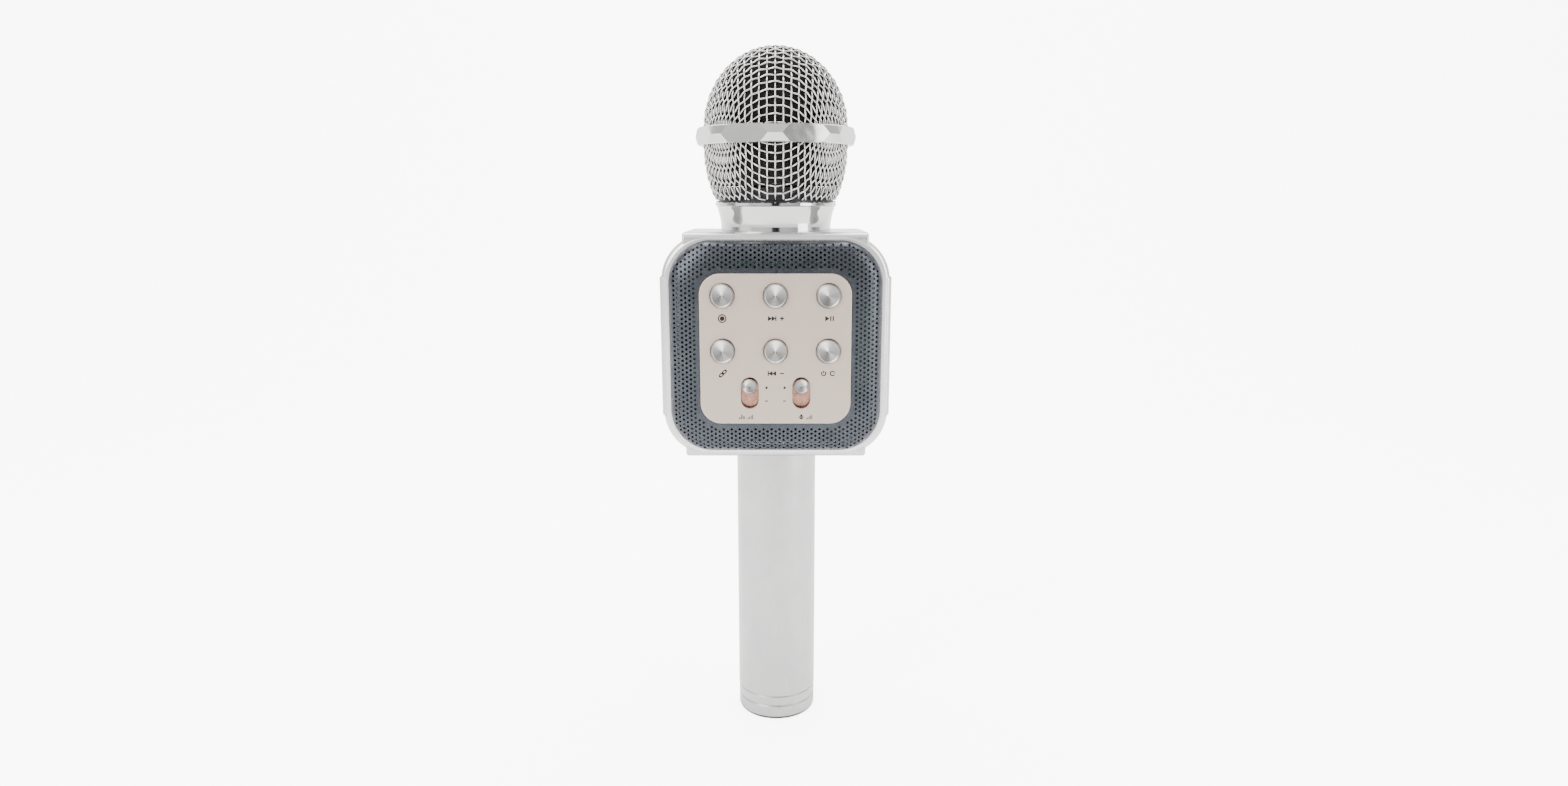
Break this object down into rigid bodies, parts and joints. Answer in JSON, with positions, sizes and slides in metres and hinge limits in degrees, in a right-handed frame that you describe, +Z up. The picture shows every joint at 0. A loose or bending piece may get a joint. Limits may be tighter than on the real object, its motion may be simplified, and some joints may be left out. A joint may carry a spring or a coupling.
{
  "type": "karaoke microphone",
  "caption": "Hand-held wireless karaoke microphone with a round mesh head, a square speaker box with buttons and volume sliders, and a straight tubular handle.",
  "frame": {"origin": "centre of the flat end of the tail, on the handle's axis", "axes": "+Z up the handle's axis to the mesh head, -Y towards the side with the buttons, +X towards the side with the sockets"},
  "size_m": [0.0825, 0.0621, 0.256],
  "materials": {
    "satin_aluminium": "satin",
    "black_plastic": "matte",
    "grey_plastic": "matte",
    "spring_steel": "polished",
    "nickel_steel": "satin",
    "cell_wrap": "satin",
    "screw_steel": "satin",
    "housing_silver": "gloss",
    "trim_silver": "satin",
    "grille_steel": "satin",
    "panel_champagne": "satin",
    "spun_silver": "brushed",
    "copper_foil": "satin",
    "board_green": "satin",
    "chip_black": "matte",
    "ferrite": "matte",
    "paper": "matte",
    "coil_copper": "satin",
    "soft_rubber": "matte",
    "spider_cloth": "matte",
    "bright_chrome": "polished",
    "mesh_steel": "polished",
    "foam_black": "matte",
    "lead_jacket": "satin"
  },
  "bodies": {
    "root": {"handle_tube": "satin_aluminium", "tail_cap": "satin_aluminium", "tail_base": "black_plastic", "front_baffle": "black_plastic", "rear_baffle": "black_plastic", "switch_bodies": "black_plastic", "battery_carrier": "grey_plastic", "handle_socket": "grey_plastic", "capsule_holder": "grey_plastic", "slider_pots": "grey_plastic", "contact_spring": "spring_steel", "cell_contacts": "nickel_steel", "usb_socket": "nickel_steel", "card_slot": "nickel_steel", "radio_module": "nickel_steel", "mic_capsule": "nickel_steel", "speaker_yoke": "nickel_steel", "speaker_frame": "nickel_steel", "battery_cell": "cell_wrap", "socket_screws": "screw_steel", "housing_screws": "screw_steel", "board_screws": "screw_steel", "speaker_screws": "screw_steel", "front_housing": "housing_silver", "rear_housing": "housing_silver", "top_trim": "trim_silver", "bottom_trim": "trim_silver", "left_trim": "trim_silver", "right_trim": "trim_silver", "front_grille": "grille_steel", "rear_grille": "grille_steel", "control_panel": "panel_champagne", "slider_trays": "copper_foil", "control_board": "board_green", "board_chips": "chip_black", "capacitors": "chip_black", "audio_jack": "chip_black", "speaker_magnet": "ferrite", "speaker_surround": "soft_rubber", "capsule_boot": "soft_rubber", "speaker_spider": "spider_cloth", "neck_collar": "bright_chrome", "inner_leads": "lead_jacket"},
    "record_cap": {"record_button": "spun_silver"},
    "next_cap": {"next_button": "spun_silver"},
    "play_cap": {"play_button": "spun_silver"},
    "pairing_cap": {"pairing_button": "spun_silver"},
    "previous_cap": {"previous_button": "spun_silver"},
    "power_cap": {"power_button": "spun_silver"},
    "remix_control": {"remix_slider": "spun_silver"},
    "mic_control": {"mic_slider": "spun_silver"},
    "cone_assembly": {"speaker_cone": "paper", "voice_coil": "coil_copper"},
    "head_thread": {"head_base_ring": "nickel_steel"},
    "mesh_head": {"upper_grille": "mesh_steel", "lower_grille": "mesh_steel", "grille_ring": "bright_chrome", "windscreen_foam": "foam_black"}
  },
  "joints": [
    {"name": "record_press", "type": "slide", "parent": "root", "child": "record_cap", "axis": [0, 1, 0], "range_m": [0, 0.0005], "stiffness_N_per_m": 1500, "springref_m": -0.0004},
    {"name": "next_press", "type": "slide", "parent": "root", "child": "next_cap", "axis": [0, 1, 0], "range_m": [0, 0.0005], "stiffness_N_per_m": 1500, "springref_m": -0.0004},
    {"name": "play_press", "type": "slide", "parent": "root", "child": "play_cap", "axis": [0, 1, 0], "range_m": [0, 0.0005], "stiffness_N_per_m": 1500, "springref_m": -0.0004},
    {"name": "pairing_press", "type": "slide", "parent": "root", "child": "pairing_cap", "axis": [0, 1, 0], "range_m": [0, 0.0005], "stiffness_N_per_m": 1500, "springref_m": -0.0004},
    {"name": "previous_press", "type": "slide", "parent": "root", "child": "previous_cap", "axis": [0, 1, 0], "range_m": [0, 0.0005], "stiffness_N_per_m": 1500, "springref_m": -0.0004},
    {"name": "power_press", "type": "slide", "parent": "root", "child": "power_cap", "axis": [0, 1, 0], "range_m": [0, 0.0005], "stiffness_N_per_m": 1500, "springref_m": -0.0004},
    {"name": "remix_volume", "type": "slide", "parent": "root", "child": "remix_control", "axis": [0, 0, -1], "range_m": [0, 0.005]},
    {"name": "mic_volume", "type": "slide", "parent": "root", "child": "mic_control", "axis": [0, 0, -1], "range_m": [0, 0.005]},
    {"name": "cone_stroke", "type": "slide", "parent": "root", "child": "cone_assembly", "axis": [0, 1, 0], "range_m": [-0.001, 0.001], "stiffness_N_per_m": 1000, "deforming": ["speaker_surround", "speaker_spider"]},
    {"name": "head_lift", "type": "slide", "parent": "root", "child": "head_thread", "axis": [0, 0, 1], "range_m": [0, 0.00451]},
    {"name": "head_turn", "type": "hinge", "parent": "head_thread", "child": "mesh_head", "pos_m": [0, 0, 0.201], "axis": [0, 0, 1], "range_deg": [0, 1080]}
  ],
  "couplings": [
    {"joint": "head_lift", "follows": "head_turn", "m_per_rad": 0.00023873}
  ]
}
